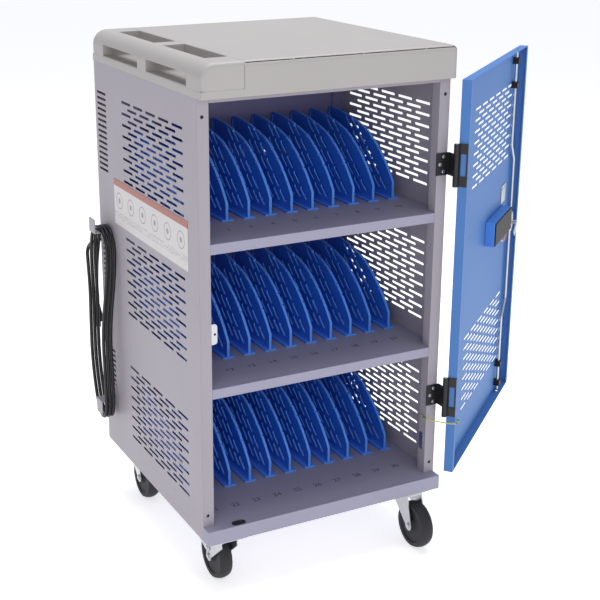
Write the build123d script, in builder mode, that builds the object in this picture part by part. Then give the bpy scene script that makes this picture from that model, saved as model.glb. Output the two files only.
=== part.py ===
"""Charging cart: a steel cabinet on four casters with thirty upright device slots,
a perforated front door with a three-point lock, and a lead wound on two side hooks.

The origin is on the floor below the middle of the cabinet. +Z is up and +Y runs
from the front of the cabinet to its rear. All sizes are millimetres.
"""

from build123d import *
import math
import os

os.makedirs("parts", exist_ok=True)

# Cabinet
body_width = 550.0
body_depth = 543.0
sheet = 1.2
fit_gap = 0.3
base_bottom_z = 124.0
base_height = 30.5
shelf_pitch = 293.0
bay_height = 276.3
ledge_depth = 24.0
post_width = 24.0
post_depth = 25.0
rear_post_width = 34.0
shelf_lip = 20.0
partition_y = 148.0
partition_fold_width = 26.0
partition_fold_depth = 6.0
rear_post_return = 10.0
rail_width = 92.0

# Top cover and its moulded handle
cover_height = 64.5
cover_wall = 3.0
cover_side_overhang = 1.0
cover_edge_radius = 12.0
cover_corner_radius = 9.0
handle_width = 85.0
skirt_height = 14.5
handle_edge_radius = 30.0
grip_width = 36.0
grip_side_height = 25.5
pocket_inset_front = 66.0
pocket_length = 196.0
pocket_rib = 45.0
seam = 0.5

# Perforations and vents
slot_length = 52.5
slot_height = 5.5
slot_pitch = 66.3
row_pitch = 12.0
grille_rows = 15
grille_columns = 5
grille_front_inset = 65.5
grille_top_drop = 65.8
vent_length = 54.0
vent_rear_inset = 12.0

# Dividers
divider_count = 11
divider_rise = 154.7
divider_first_inset = 26.4
divider_pitch = 48.6
divider_front_inset = 137.0
divider_web = 2.6
divider_bead = 5.6
divider_foot_width = 26.0
divider_slot_width = 7.5
divider_notch = 3.0
divider_notch_pitch = 29.0
divider_foot_height = 3.0

# Front door
door_angle = 220.2
door_width = 545.6
door_height = 850.3
door_depth = 19.4
door_bottom_gap = 8.1
hinge_side_out = 4.5
hinge_front_out = 25.2
door_edge_offset = 6.2
door_face_offset = 3.2
door_grille_columns = 6
door_slot_length = 49.0
door_slot_pitch = 62.0
door_grille_inset = 126.0
door_upper_grille_drop = 82.0
door_lower_grille_rise = 259.0
door_fold = 11.0
hinge_relief = 54.0

# Hinges
hinge_height = 88.0
hinge_middle = 46.0
hinge_barrel_radius = 5.7
hinge_pin_radius = 3.0
pin_clearance = 0.05
hinge_leaf = 2.2
hinge_rises = (213.0, 716.5)
leaf_reach = 26.6
screw_head_radius = 3.6
screw_head_height = 1.8

# Lock, rods and handle
spindle_s = 500.0
spindle_rise = 435.5
spindle_radius = 5.0
rod_radius = 3.2
rod_offset = 12.0
rod_far_s = 516.0
rod_near_s = 482.0
rod_tip_gap = 6.0
disc_radius = 25.0
disc_thickness = 2.5
tongue_reach = 34.0
tongue_width = 14.0
lock_box_length = 168.0
lock_box_height = 56.0
lock_box_depth = 21.5
lock_cover_thickness = 3.0
handle_bar_length = 118.0
handle_bar_width = 22.0
handle_bar_thickness = 9.0
handle_standoff = 12.0

# Casters
wheel_radius = 50.8
wheel_width = 30.0
caster_inset_side = 56.0
caster_inset_front = 18.0
caster_inset_rear = 52.0
caster_trail = 41.0
caster_plate = 2.5
fork_sheet = 2.6
fork_gap = 1.6
axle_radius = 5.0
swivel_race_radius = 24.0
swivel_race_height = 4.0
caster_bolt_radius = 5.5
caster_bolt_head = 3.8
brake_arm = 78.0

# Rear door
rear_door_depth = 15.0
rear_door_gap = 3.0
rear_hinge_out = 5.0
rear_lock_inset = 26.0
rear_lock_radius = 9.0
rear_cam_reach = 38.0

# Cord and its hooks
cord_radius = 4.0
hank_step = 8.6
hank_bend = 24.0
hook_width = 35.0
hook_depth = 37.0
hook_sheet = 2.0
hook_lip = 32.0
hook_tab = 32.0
hook_y = 218.0
upper_hook_z = 650.0
lower_hook_z = 247.0

# Values worked out from the driving sizes
left = -body_width / 2
right = body_width / 2
front = -body_depth / 2
rear = body_depth / 2
base_top_z = base_bottom_z + base_height
shelf_levels = [base_top_z + shelf_pitch * level for level in range(3)]
cover_bottom_z = shelf_levels[2] + bay_height
cover_top_z = cover_bottom_z + cover_height
cover_front = front - ledge_depth
cover_left = left - cover_side_overhang
cover_right = right + cover_side_overhang
cover_rear = rear + 3.3
handle_right = left + handle_width
inner_left = left + sheet
inner_right = right - sheet
hinge_x = right + hinge_side_out
hinge_y = front - hinge_front_out
door_bottom_z = base_top_z + door_bottom_gap
door_turn = math.radians(door_angle - 180.0)
door_along = Vector(math.cos(door_turn), math.sin(door_turn), 0)
door_in = Vector(math.sin(door_turn), -math.cos(door_turn), 0)
spindle_z = door_bottom_z + spindle_rise


def save(piece, name):
    """Label a finished piece and write its file."""
    piece.part.label = name
    export_step(piece.part, f"parts/{name}.step")


def block(x0, x1, y0, y1, z0, z1, mode=Mode.ADD):
    """Box between two corners, for the part being made."""
    with Locations(((x0 + x1) / 2, (y0 + y1) / 2, (z0 + z1) / 2)):
        Box(abs(x1 - x0), abs(y1 - y0), abs(z1 - z0), mode=mode)


def rod(centre, radius, length, direction=(0, 0, 1), mode=Mode.ADD):
    """Round bar centred on a point, along a direction."""
    with Locations(Plane(origin=centre, z_dir=direction)):
        Cylinder(radius, length, mode=mode)


def door_point(s, off, z):
    """A point of the open door: along it, in from its hinge line, and up."""
    spot = Vector(hinge_x, hinge_y, z) + door_along * s + door_in * off
    return (spot.X, spot.Y, spot.Z)


def door_block(s0, s1, off0, off1, z0, z1, mode=Mode.ADD):
    """Box in the open door's own directions."""
    centre = door_point((s0 + s1) / 2, (off0 + off1) / 2, (z0 + z1) / 2)
    with Locations(Plane(origin=centre, x_dir=door_along, z_dir=(0, 0, 1))):
        Box(abs(s1 - s0), abs(off1 - off0), abs(z1 - z0), mode=mode)


def brick_slots(plane, columns, length, pitch, rows=grille_rows):
    """Cutter made of a brick pattern of slots, its top row on the plane's origin."""
    with BuildPart() as cutter:
        with BuildSketch(plane):
            for row in range(rows):
                count = columns - row % 2
                spots = [((k - (count - 1) / 2) * pitch, -row * row_pitch) for k in range(count)]
                with Locations(*spots):
                    SlotOverall(length, slot_height)
        extrude(amount=4 * sheet, both=True)
    return cutter.part


# Cabinet shell


def side_panel(x_low):
    """Flat side of the cabinet with three grilles and a column of rear vents."""
    grille_middle = front + grille_front_inset + ((grille_columns - 1) * slot_pitch + slot_length) / 2
    vent_middle = rear - vent_rear_inset - vent_length / 2
    vent_rows = ((15, 0), (11, 4), (8, 0))
    with BuildPart() as panel:
        block(x_low, x_low + sheet, front, rear, base_bottom_z, cover_bottom_z)
        for bay in range(3):
            top_z = cover_bottom_z - grille_top_drop - bay * (shelf_pitch + 1.0)
            plane = Plane(origin=(x_low, grille_middle, top_z), x_dir=(0, 1, 0), z_dir=(1, 0, 0))
            add(brick_slots(plane, grille_columns, slot_length, slot_pitch), mode=Mode.SUBTRACT)
            count, skipped = vent_rows[bay]
            with BuildSketch(Plane(origin=(x_low, vent_middle, top_z), x_dir=(0, 1, 0), z_dir=(1, 0, 0))):
                with Locations(*[(0, -(row + skipped) * row_pitch) for row in range(count)]):
                    SlotOverall(vent_length, slot_height)
            extrude(amount=4 * sheet, both=True, mode=Mode.SUBTRACT)
    return panel


def front_post(x_out, inward):
    """Folded channel behind the front edge of a side panel, with two buffer holes."""
    inner = x_out + inward * sheet
    edge = x_out + inward * post_width
    hole_x = x_out + inward * 10.8
    with BuildPart() as post:
        block(inner, edge, front, front + sheet, base_top_z, cover_bottom_z)
        block(edge - inward * sheet, edge, front, front + post_depth, base_top_z, cover_bottom_z)
        for z in (base_top_z + 24.0, cover_bottom_z - 34.3):
            rod((hole_x, front, z), 3.5, 10.0, (0, 1, 0), Mode.SUBTRACT)
    return post


def rear_posts():
    """Folded strips beside the rear door, with a short return for its lock to catch behind."""
    with BuildPart() as posts:
        for x_out, inward in ((left, 1), (right, -1)):
            inner = x_out + inward * sheet
            edge = x_out + inward * rear_post_width
            block(inner, edge, rear - sheet, rear, base_top_z, cover_bottom_z)
            block(edge - inward * sheet, edge, rear - rear_post_return, rear, base_top_z, cover_bottom_z)
    return posts


def rod_hole_spot():
    """Where the closed door's rods meet the base and the cover, seen from above."""
    return (hinge_x - rod_near_s, hinge_y + rod_offset)


def base_tray():
    """Floor of the cabinet with turned-down edges and the ledge below the door."""
    with BuildPart() as tray:
        block(left, right, cover_front, front, base_bottom_z, base_top_z)
        block(left + sheet, right - sheet, cover_front + sheet, front, base_bottom_z,
              base_top_z - sheet, Mode.SUBTRACT)
        block(inner_left, inner_right, front - sheet, rear, base_bottom_z, base_top_z)
        block(inner_left + sheet, inner_right - sheet, front - 2 * sheet, rear - sheet, base_bottom_z,
              base_top_z - sheet, Mode.SUBTRACT)
        with BuildSketch(Plane.XY.offset(base_top_z)):
            with Locations(rod_hole_spot()):
                SlotOverall(19.0, 2 * (rod_radius + fit_gap))
        extrude(amount=-2 * sheet, mode=Mode.SUBTRACT)
    return tray


def caster_rails():
    """Two pressed channels under the tray that the casters are bolted to."""
    middles = (front + caster_inset_front, rear - caster_inset_rear)
    top = base_top_z - sheet
    with BuildPart() as rails:
        for middle in middles:
            y0, y1 = middle - rail_width / 2 + 5.0, middle + rail_width / 2 + 5.0
            if middle < 0:
                y0 = front + sheet
            if middle > 0:
                y1 = rear - 2 * sheet
            block(inner_left + sheet, inner_right - sheet, y0, y1, base_bottom_z, top)
            block(inner_left + sheet, inner_right - sheet, y0 + 2 * sheet, y1 - 2 * sheet,
                  base_bottom_z + 2 * sheet, top, Mode.SUBTRACT)
    return rails


def shelf(level_z):
    """Shelf with a deep front lip between the posts."""
    clear = post_width + fit_gap
    with BuildPart() as tray:
        block(inner_left, inner_right, front + post_depth + fit_gap, partition_y, level_z - sheet, level_z)
        block(left + clear, right - clear, front, front + post_depth + 1.0, level_z - sheet, level_z)
        block(left + clear, right - clear, front, front + sheet, level_z - shelf_lip, level_z)
        block(left + clear, right - clear, front, front + 9.0, level_z - shelf_lip,
              level_z - shelf_lip + sheet)
        for side in (inner_left, inner_right - sheet):
            block(side, side + sheet, front + post_depth + fit_gap, partition_y,
                  level_z - shelf_lip, level_z)
    return tray


def inner_back_panel():
    """Partition behind the devices, with corner folds and cable slots for each bay."""
    with BuildPart() as panel:
        block(inner_left, inner_right, partition_y, partition_y + sheet, base_top_z, cover_bottom_z - sheet)
        for side, inward in ((inner_left, 1), (inner_right, -1)):
            block(side, side + inward * partition_fold_width, partition_y - partition_fold_depth,
                  partition_y, base_top_z,
                  shelf_levels[1] - shelf_lip - fit_gap)
            for level in (1, 2):
                top = shelf_levels[2] - shelf_lip if level == 1 else cover_bottom_z - sheet
                block(side, side + inward * partition_fold_width, partition_y - partition_fold_depth,
                      partition_y, shelf_levels[level], top - fit_gap)
        for level_z in shelf_levels:
            plane = Plane(origin=(0, partition_y, level_z + 60.0), x_dir=(1, 0, 0), z_dir=(0, -1, 0))
            with BuildSketch(plane):
                with GridLocations(2 * divider_pitch, 1, 5, 1):
                    SlotOverall(60.0, 24.0)
            extrude(amount=3 * sheet, both=True, mode=Mode.SUBTRACT)
    return panel


def ceiling_panel():
    """Sheet that closes the top of the cabinet below the cover."""
    with BuildPart() as panel:
        block(inner_left, inner_right, front + post_depth, rear - 32.0,
              cover_bottom_z - sheet, cover_bottom_z)
        block(left + post_width, right - post_width, front, front + post_depth,
              cover_bottom_z - sheet, cover_bottom_z)
        block(left + post_width + fit_gap, right - post_width - fit_gap, front, front + sheet,
              cover_bottom_z - 10.0, cover_bottom_z)
    return panel


def top_cover():
    """Moulded cover, low on the left where the handle moulding sits on it."""
    skirt_top = cover_bottom_z + skirt_height
    with BuildPart() as cover:
        block(handle_right + seam, cover_right, cover_front, cover_rear, cover_bottom_z, cover_top_z)
        rounded = (cover.edges().filter_by(Axis.Y).group_by(Axis.Z)[-1].sort_by(Axis.X)[-1:]
                   + cover.edges().filter_by(Axis.X).group_by(Axis.Z)[-1]
                   + cover.edges().filter_by(Axis.Z).group_by(Axis.X)[-1])
        fillet(rounded, cover_edge_radius)
        block(handle_right + seam, cover_right - cover_wall, cover_front + cover_wall,
              cover_rear - cover_wall, cover_bottom_z, cover_top_z - cover_wall, Mode.SUBTRACT)
        block(handle_right + seam, handle_right + seam + cover_wall, cover_front + cover_wall,
              cover_rear - cover_wall, cover_bottom_z, cover_top_z - cover_wall)
        block(cover_left, handle_right + seam, cover_front, cover_rear, cover_bottom_z, skirt_top)
        block(cover_left + cover_wall, handle_right + seam, cover_front + cover_wall,
              cover_rear - cover_wall, cover_bottom_z, skirt_top - cover_wall, Mode.SUBTRACT)
        fillet(cover.edges().filter_by(Axis.Z).group_by(Axis.X)[0], cover_wall - 0.5)
        for x in (-90.0, 60.0, 200.0):
            block(x, x + cover_wall, cover_front + cover_wall, cover_rear - cover_wall,
                  cover_bottom_z, cover_top_z - cover_wall)
    return cover


def handle_profile_plane():
    """Plane across the handle moulding at its front end."""
    return Plane(origin=(0, cover_front, 0), x_dir=(1, 0, 0), z_dir=(0, -1, 0))


def handle_moulding():
    """Moulded carrying handle: a big rounded edge with two finger pockets through it."""
    bottom = cover_bottom_z + skirt_height
    length = cover_rear - cover_front
    with BuildPart() as grip:
        with BuildSketch(handle_profile_plane()):
            with BuildLine():
                Polyline((cover_left + handle_edge_radius, cover_top_z), (handle_right, cover_top_z),
                         (handle_right, bottom), (cover_left, bottom),
                         (cover_left, cover_top_z - handle_edge_radius))
                RadiusArc((cover_left, cover_top_z - handle_edge_radius),
                          (cover_left + handle_edge_radius, cover_top_z), handle_edge_radius)
            make_face()
        extrude(amount=-length)
        ends = [edge for edge in grip.edges()
                if not edge.geom_type == GeomType.LINE or abs(edge.center().Z - cover_top_z) < 0.1]
        outer_ends = [edge for edge in ends if abs(edge.center().Y - cover_front) < 0.1
                      or abs(edge.center().Y - cover_rear) < 0.1]
        fillet(outer_ends, cover_corner_radius)
        for start in (cover_front + pocket_inset_front, cover_front + pocket_inset_front
                      + pocket_length + pocket_rib):
            end = start + pocket_length
            block(left + grip_width, handle_right - 3.0, start, end, bottom + 2.0,
                  cover_top_z + 1.0, Mode.SUBTRACT)
            block(cover_left - 1.0, left + grip_width + 1.0, start, end, bottom + 2.0,
                  bottom + grip_side_height, Mode.SUBTRACT)
    return grip


# Things fixed to the cabinet


def divider_outline(rise):
    """Side view of one divider: a short upright front, then a long bulging slope."""
    start = front + divider_front_inset
    end = partition_y - partition_fold_depth - fit_gap
    with BuildLine() as outline:
        Line((start, 0), (start, 0.23 * rise))
        ThreePointArc((start, 0.23 * rise), (start + 45, 0.56 * rise), (start + 112, 0.845 * rise))
        ThreePointArc((start + 112, 0.845 * rise), (start + 190, 0.965 * rise), (end - 12.0, rise))
        RadiusArc((end - 12.0, rise), (end, rise - 12.0), 12.0)
        Line((end, rise - 12.0), (end, 0))
        Line((end, 0), (start, 0))
    return outline


def divider_slot_spots():
    """Centres of a divider's slanted slots, in four ranks parallel to the slope."""
    spots = []
    for rank, (first_y, first_z, count) in enumerate(((36, 27, 5), (66, 26, 5), (98, 25, 4),
                                                      (132, 24, 4), (168, 24, 3))):
        for k in range(count):
            spots.append((front + divider_front_inset + first_y + 30.0 * k - 4.0 * rank,
                          first_z + 27.0 * k))
    return spots


def divider_notch_spots():
    """Places and directions of the notches along a divider's slope."""
    line = divider_outline(divider_rise).wire()
    runs = [95.0 + divider_notch_pitch * k for k in range(7)]
    spots = []
    for run in runs:
        spot, ahead = line.position_at(run / line.length), line.tangent_at(run / line.length)
        spots.append(Location((spot.X, spot.Y), math.degrees(math.atan2(ahead.Y, ahead.X))))
    return spots


def divider(x, level_z):
    """One moulded divider: a slotted web, a bead along its edge and a foot on both sides."""
    plane = Plane(origin=(x, 0, level_z), x_dir=(0, 1, 0), z_dir=(1, 0, 0))
    with BuildPart() as fin:
        with BuildSketch(plane) as web:
            add(divider_outline(divider_rise).line)
            make_face()
        extrude(amount=divider_web / 2, both=True)
        with BuildSketch(plane):
            add(web.sketch_local.faces()[0])
            offset(amount=-divider_bead, kind=Kind.ARC, mode=Mode.SUBTRACT)
        extrude(amount=divider_bead / 2, both=True)
        with BuildSketch(plane):
            for spot in divider_slot_spots():
                with Locations(Location(spot, 39)):
                    SlotOverall(33.0, divider_slot_width)
            for notch in divider_notch_spots():
                with Locations(notch):
                    Rectangle(divider_notch, divider_bead + 1.0)
        extrude(amount=divider_bead, both=True, mode=Mode.SUBTRACT)
        block(x - divider_foot_width / 2, x + divider_foot_width / 2, front + divider_front_inset - 3.0,
              partition_y - partition_fold_depth - fit_gap, level_z, level_z + divider_foot_height)
    return fin.part


def divider_set(first, rise):
    """The eleven dividers of one shelf, from the first one on the lowest shelf."""
    with BuildPart() as fins:
        with Locations(*[(k * divider_pitch, 0, rise) for k in range(divider_count)]):
            add(first)
    return fins


def strike_plate():
    """Rounded lug on the left post that the lock's tongue catches behind."""
    x0 = left + post_width
    with BuildPart() as lug:
        plane = Plane(origin=(x0, front + 1.5, spindle_z - 37.0), x_dir=(1, 0, 0), z_dir=(0, -1, 0))
        with BuildSketch(plane):
            with Locations((-1.0, 0)):
                RectangleRounded(28.0, 42.0, 7.0)
            with Locations((8.0, 0)):
                Circle(2.5, mode=Mode.SUBTRACT)
        extrude(amount=-2.5)
        block(x0 - 20.0, x0 + fit_gap, front - 5.0, front + 8.0, spindle_z - 70.0, spindle_z - 10.0,
              Mode.SUBTRACT)
    return lug


def label_plate():
    """Thin plate on the left side."""
    with BuildPart() as plate:
        block(left - 0.8, left, front + 48.5, front + 442.5, base_top_z + 522.5, base_top_z + 622.5)
    return plate


def cord_hooks():
    """Two bent strips on the left side: a screwed tab, a shelf for the cord and a lip each."""
    y0, y1 = hook_y - hook_width / 2, hook_y + hook_width / 2
    out = left - hook_depth
    with BuildPart() as hooks:
        for base_z, turn in ((upper_hook_z - hook_sheet, 1), (lower_hook_z, -1)):
            block(out - hook_sheet, left, y0, y1, base_z, base_z + hook_sheet)
            tab_z = base_z + hook_sheet - turn * hook_tab
            block(left - hook_sheet, left, y0, y1, tab_z, base_z)
            block(out - hook_sheet, out, y0, y1, base_z, base_z + turn * hook_lip)
            rod((left - hook_sheet - 1.0, hook_y, base_z - turn * hook_tab / 2), 4.0, 2.0, (1, 0, 0))
        fillet(hooks.edges().filter_by(Axis.X).group_by(Axis.X)[0], 4.0)
    return hooks


def hinge_levels():
    """Heights of the middles of the two front hinges."""
    return [door_bottom_z - 38.0 + rise for rise in hinge_rises]


def cabinet_hinge_leaves():
    """Cabinet halves of both front hinges: a leaf on the post and an arm to the pin."""
    arm_in = right + fit_gap + 1.0
    with BuildPart() as leaves:
        for z in hinge_levels():
            low, high = z - hinge_middle / 2, z + hinge_middle / 2
            block(right - leaf_reach, hinge_x, front - hinge_leaf, front, low, high)
            block(arm_in, hinge_x, hinge_y, front, low, high)
            rod((hinge_x, hinge_y, z), hinge_barrel_radius, hinge_middle)
            rod((hinge_x, hinge_y, z), hinge_pin_radius, hinge_middle, mode=Mode.SUBTRACT)
    return leaves


def hinge_pins():
    """Pins of both front hinges, tight in the cabinet leaf and free in the door's."""
    with BuildPart() as pins:
        for z in hinge_levels():
            rod((hinge_x, hinge_y, z), hinge_pin_radius, hinge_height + 1.0)
    return pins


def hinge_screws():
    """Pan heads that hold the cabinet leaves to the right-hand post."""
    with BuildPart() as screws:
        for z in hinge_levels():
            for x, dz in ((right - 10.0, 15.5), (right - 18.5, 0.0), (right - 10.0, -15.5)):
                face = front - hinge_leaf
                rod((x, face - screw_head_height / 2, z + dz), screw_head_radius,
                    screw_head_height, (0, 1, 0))
        fillet(screws.edges().group_by(Axis.Y)[0], 1.0)
    return screws


# Front door


def door_shell():
    """Folded door pan: skin, flanges, edge returns, two grilles, rod holes and spindle hole."""
    s0, s1 = door_edge_offset, door_edge_offset + door_width
    off0, off1 = door_face_offset, door_face_offset + door_depth
    z0, z1 = door_bottom_z, door_bottom_z + door_height
    grille_middle = s0 + door_grille_inset + ((door_grille_columns - 1) * door_slot_pitch
                                              + door_slot_length) / 2
    with BuildPart() as shell:
        door_block(s0, s1, off0, off1, z0, z1)
        door_block(s0 + sheet, s1 - sheet, off0 + sheet, off1 + 1.0, z0 + sheet, z1 - sheet, Mode.SUBTRACT)
        for top_z in (z1 - door_upper_grille_drop, z0 + door_lower_grille_rise):
            spot = door_point(grille_middle, off0, top_z)
            plane = Plane(origin=spot, x_dir=door_along, z_dir=door_in)
            add(brick_slots(plane, door_grille_columns, door_slot_length, door_slot_pitch),
                mode=Mode.SUBTRACT)
        for z in (z0, z1):
            rod(door_point(rod_near_s, rod_offset, z), rod_radius + fit_gap, 8.0, mode=Mode.SUBTRACT)
        rod(door_point(spindle_s, off0, spindle_z), spindle_radius + fit_gap, 12.0, door_in, Mode.SUBTRACT)
        for s, inward in ((s0 + sheet / 2, 1), (s1 - sheet / 2, -1)):
            door_block(s, s + inward * door_fold, off1 - sheet, off1, z0 + sheet / 2, z1 - sheet / 2)
        for z in hinge_levels():
            door_block(s0 + sheet, s0 + sheet + door_fold, off1 - sheet - 0.5, off1 + 0.5,
                       z - hinge_relief / 2, z + hinge_relief / 2, Mode.SUBTRACT)
    return shell


def door_hinge_leaves():
    """Door halves of both front hinges: windowed leaf and two knuckles each."""
    face = door_edge_offset
    back = face - 2.5
    off0, off1 = door_face_offset, door_face_offset + door_depth
    with BuildPart() as leaves:
        for z in hinge_levels():
            low, high = z - hinge_height / 2, z + hinge_height / 2
            window = hinge_middle / 2 + fit_gap
            door_block(back, face, off0, off1, low, high)
            for z0, z1 in ((low, z - window), (z + window, high)):
                rod((hinge_x, hinge_y, (z0 + z1) / 2), hinge_barrel_radius, z1 - z0)
                door_block(0, face, off0, hinge_barrel_radius, z0, z1)
            door_block(back - 1, face + 1, off0 + 4.5, off1 - 3.0, z - window, z + window, Mode.SUBTRACT)
            door_block(back - 1, face + 1, off0 - 1, off0 + 2.0, z - window, z + window, Mode.SUBTRACT)
            rod((hinge_x, hinge_y, z), hinge_pin_radius + pin_clearance, hinge_height, mode=Mode.SUBTRACT)
            door_block(-hinge_barrel_radius - 1, back, -hinge_barrel_radius - 1, hinge_barrel_radius + 1,
                       z - window, z + window, Mode.SUBTRACT)
    return leaves


def hinge_backing_plates():
    """Plates inside the door's hinge edge that the leaves are screwed to, with their screws."""
    s0 = door_edge_offset + sheet
    off0 = door_face_offset + sheet
    with BuildPart() as plates:
        for z in hinge_levels():
            low, high = z - hinge_height / 2, z + hinge_height / 2
            door_block(s0, s0 + 2.0, off0 + 1.0, off0 + 14.0, low, high)
            for dz in (-34.0, 34.0):
                rod(door_point(s0 + 3.0, off0 + 8.0, z + dz), screw_head_radius, 2.0, door_along)
    return plates


def lock_housing():
    """Box on the inside of the door that holds the lock's works."""
    s1 = spindle_s - disc_radius - 24.0
    s0 = s1 - lock_box_length
    off0 = door_face_offset + sheet
    z0 = spindle_z - 4.0
    with BuildPart() as housing:
        door_block(s0, s1, off0, off0 + lock_box_depth, z0, z0 + lock_box_height)
        fillet(housing.edges(), 1.5)
        door_block(s0 + 3.0, s1 - 3.0, off0 + 3.0, off0 + lock_box_depth + 1.0, z0 + 3.0,
                   z0 + lock_box_height - 3.0, Mode.SUBTRACT)
    return housing


def lock_cover():
    """Dark lid of the lock housing."""
    s1 = spindle_s - disc_radius - 24.0
    s0 = s1 - lock_box_length
    off0 = door_face_offset + sheet + lock_box_depth
    z0 = spindle_z - 4.0
    with BuildPart() as lid:
        door_block(s0 + 1.5, s1 - 1.5, off0, off0 + lock_cover_thickness, z0 + 1.5,
                   z0 + lock_box_height - 1.5)
        fillet(lid.edges().filter_by(Plane.XY).group_by(SortBy.LENGTH)[-1], 1.2)
    return lid


def lock_bracket():
    """Small plate with two screws above the lock housing."""
    off0 = door_face_offset + sheet
    z0 = spindle_z + 60.0
    with BuildPart() as bracket:
        door_block(428.0, 470.0, off0, off0 + 2.0, z0, z0 + 42.0)
        for s in (436.0, 462.0):
            rod(door_point(s, off0 + 3.0, z0 + 34.0), screw_head_radius, 2.0, door_in)
    return bracket


def rod_guides():
    """Four guide blocks that the lock rods slide in."""
    off0 = door_face_offset + sheet
    top = door_bottom_z + door_height
    heights = (top - 26.0, top - 82.0, door_bottom_z + 75.0, door_bottom_z + 24.0)
    with BuildPart() as guides:
        for z in heights:
            door_block(rod_near_s - 8.0, rod_near_s + 8.0, off0, rod_offset + 6.5, z - 7.0, z + 7.0)
        rod(door_point(rod_near_s, rod_offset, (heights[0] + heights[3]) / 2), rod_radius + fit_gap,
            door_height, mode=Mode.SUBTRACT)
    return guides


def lock_rod(start_z, jog_z, end_z):
    """One lock rod: straight by the spindle, cranked past the grille, straight to its tip."""
    step = 40.0 if jog_z > start_z else -40.0
    with BuildPart() as bar:
        with BuildLine() as path:
            FilletPolyline(door_point(rod_far_s, rod_offset, start_z),
                           door_point(rod_far_s, rod_offset, jog_z),
                           door_point(rod_near_s, rod_offset, jog_z + step),
                           door_point(rod_near_s, rod_offset, end_z), radius=12.0)
        with BuildSketch(Plane(origin=path.line @ 0, z_dir=path.line % 0)):
            Circle(rod_radius)
        sweep()
    return bar


def lock_cam():
    """Spindle through the door with the rod disc and the tongue behind it."""
    disc_off = rod_offset + rod_radius + fit_gap
    tongue_off = hinge_front_out + 5.3
    out_off = door_face_offset - handle_standoff
    length = tongue_off + disc_thickness - out_off
    arm = tongue_reach / 2
    lean = math.sqrt(0.5)
    with BuildPart() as cam:
        rod(door_point(spindle_s, out_off + length / 2, spindle_z), spindle_radius, length, door_in)
        rod(door_point(spindle_s, disc_off + disc_thickness / 2, spindle_z), disc_radius,
            disc_thickness, door_in)
        centre = door_point(spindle_s - arm * lean, tongue_off + disc_thickness / 2,
                            spindle_z - arm * lean)
        along = door_along * -lean + Vector(0, 0, -lean)
        with Locations(Plane(origin=centre, x_dir=along, z_dir=door_in)):
            Box(tongue_reach, tongue_width, disc_thickness)
        rod(door_point(spindle_s, tongue_off + disc_thickness / 2, spindle_z), 9.0,
            disc_thickness, door_in)
    return cam


def lock_handle():
    """Lever on the outside of the door, level towards the hinges when the lock is open."""
    top_off = door_face_offset - handle_standoff
    plane = Plane(origin=door_point(spindle_s, top_off, spindle_z), x_dir=door_along, z_dir=door_in)
    with BuildPart() as lever:
        with BuildSketch(plane):
            Circle(handle_bar_width / 2 + 2.0)
            with Locations((-handle_bar_length / 2, 0)):
                SlotOverall(handle_bar_length, handle_bar_width)
        extrude(amount=-handle_bar_thickness)
    return lever


def lock_escutcheon():
    """Round collar on the outside of the door that the spindle turns in."""
    thickness = handle_standoff - 1.0
    with BuildPart() as collar:
        middle = door_point(spindle_s, door_face_offset - thickness / 2, spindle_z)
        rod(middle, 17.0, thickness, door_in)
        rod(middle, spindle_radius + fit_gap, thickness + 2.0, door_in, Mode.SUBTRACT)
    return collar


# Rear door


def rear_door():
    """Flush rear door with three vent rows; the inside is an open pan."""
    x0, x1 = left + rear_post_width + rear_door_gap, right - rear_post_width - rear_door_gap
    z0, z1 = base_top_z + rear_door_gap, cover_bottom_z - rear_door_gap
    with BuildPart() as door:
        block(x0, x1, rear - rear_door_depth, rear, z0, z1)
        block(x0 + sheet, x1 - sheet, rear - rear_door_depth - 1.0, rear - sheet, z0 + sheet,
              z1 - sheet, Mode.SUBTRACT)
        for top_z in (z1 - 70.0, z0 + 230.0):
            plane = Plane(origin=(0, rear, top_z), x_dir=(1, 0, 0), z_dir=(0, -1, 0))
            add(brick_slots(plane, grille_columns, slot_length, slot_pitch), mode=Mode.SUBTRACT)
        rod((x0 + rear_lock_inset, rear, spindle_z), rear_lock_radius + fit_gap, 10.0, (0, 1, 0),
            Mode.SUBTRACT)
        block(x0 - 1.0, x0 + sheet, rear - rear_door_depth - 1.0, rear - 11.4,
              spindle_z - rear_cam_reach, spindle_z + 9.0, Mode.SUBTRACT)
    return door


def rear_hinge_spot():
    """Pin line of the rear door, just outside the cabinet's rear face."""
    return (right - rear_post_width - rear_door_gap / 2, rear + rear_hinge_out)


def rear_hinge_heights():
    """Middles of the two rear hinges."""
    return (base_top_z + 120.0, cover_bottom_z - 120.0)


def rear_hinge_post_leaves():
    """Post halves of the rear hinges with their pins."""
    x, y = rear_hinge_spot()
    with BuildPart() as leaves:
        for z in rear_hinge_heights():
            block(x - 0.5, x + 24.0, rear, rear + 1.6, z - 15.0, z + 15.0)
            block(x - 0.5, x + 0.8, rear, y, z - 15.0, z + 15.0)
            rod((x, y, z), 4.0, 30.0)
            rod((x, y, z), 2.0, 62.0)
    return leaves


def rear_hinge_door_leaves():
    """Door halves of the rear hinges, one knuckle above and one below."""
    x, y = rear_hinge_spot()
    with BuildPart() as leaves:
        for z in rear_hinge_heights():
            for z0, z1 in ((z - 31.0, z - 15.0 - fit_gap), (z + 15.0 + fit_gap, z + 31.0)):
                block(x - 24.0, x, rear, rear + 1.6, z0, z1)
                block(x - 0.8, x + 0.5, rear, y, z0, z1)
                rod((x, y, (z0 + z1) / 2), 4.0, z1 - z0)
            rod((x, y, z), 2.0 + pin_clearance, 64.0, mode=Mode.SUBTRACT)
            block(x - 24.0, x - 8.0, rear, rear + 1.6, z - 31.0, z + 31.0)
    return leaves


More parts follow.
